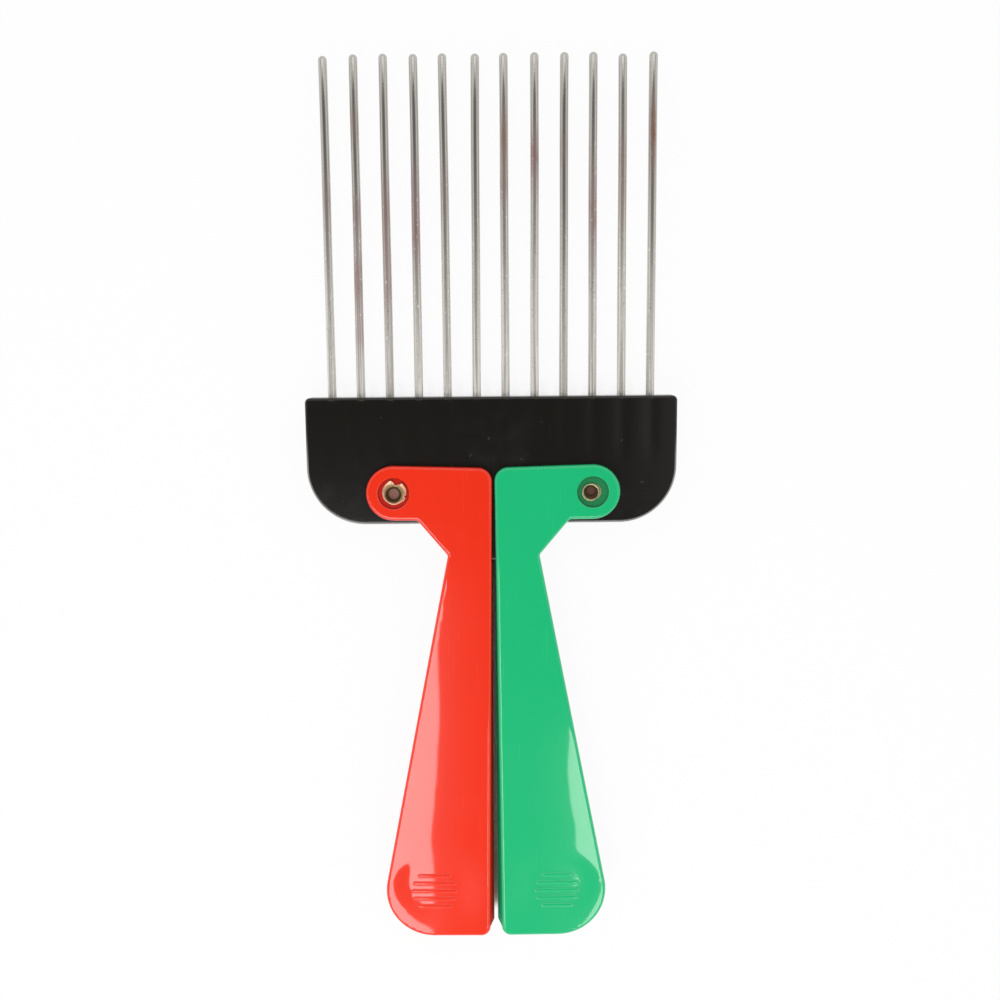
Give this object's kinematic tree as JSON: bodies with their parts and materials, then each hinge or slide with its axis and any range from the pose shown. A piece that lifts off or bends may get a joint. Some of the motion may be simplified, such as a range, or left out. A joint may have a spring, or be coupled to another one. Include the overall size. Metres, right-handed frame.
{
  "type": "folding afro pick",
  "caption": "Hair pick with long round wire tines set in a black bar, and red and green channel handles that fold out and round on rivets to cover the outer tines.",
  "frame": {"origin": "under the middle of the pick's whole length and width, on the surface that its back lies on", "axes": "+X across the tines towards the green handle, +Y from the handle ends to the tine tips, +Z through the thickness, out of the front"},
  "size_m": [0.0878, 0.2122, 0.0103],
  "materials": {
    "black_plastic": "moulded, slightly worn",
    "red_plastic": "glossy moulded",
    "green_plastic": "glossy moulded",
    "plated_steel": "bright nickel plating with dull spots",
    "rivet_brass": "tarnished"
  },
  "bodies": {
    "comb": {"comb_base": "black_plastic", "tine_01": "plated_steel", "tine_02": "plated_steel", "tine_03": "plated_steel", "tine_04": "plated_steel", "tine_05": "plated_steel", "tine_06": "plated_steel", "tine_07": "plated_steel", "tine_08": "plated_steel", "tine_09": "plated_steel", "tine_10": "plated_steel", "tine_11": "plated_steel", "tine_12": "plated_steel", "left_rivet": "rivet_brass", "right_rivet": "rivet_brass"},
    "red_handle": {"left_handle": "red_plastic"},
    "green_handle": {"right_handle": "green_plastic"}
  },
  "joints": [
    {"name": "left_handle_fold", "type": "hinge", "parent": "comb", "child": "red_handle", "pos_m": [-0.02327, 0.00572, 0.005], "axis": [0, 0, -1], "range_deg": [-0.1, 179.3]},
    {"name": "right_handle_fold", "type": "hinge", "parent": "comb", "child": "green_handle", "pos_m": [0.02387, 0.00572, 0.005], "axis": [0, 0, 1], "range_deg": [-0.1, 179.5]}
  ]
}
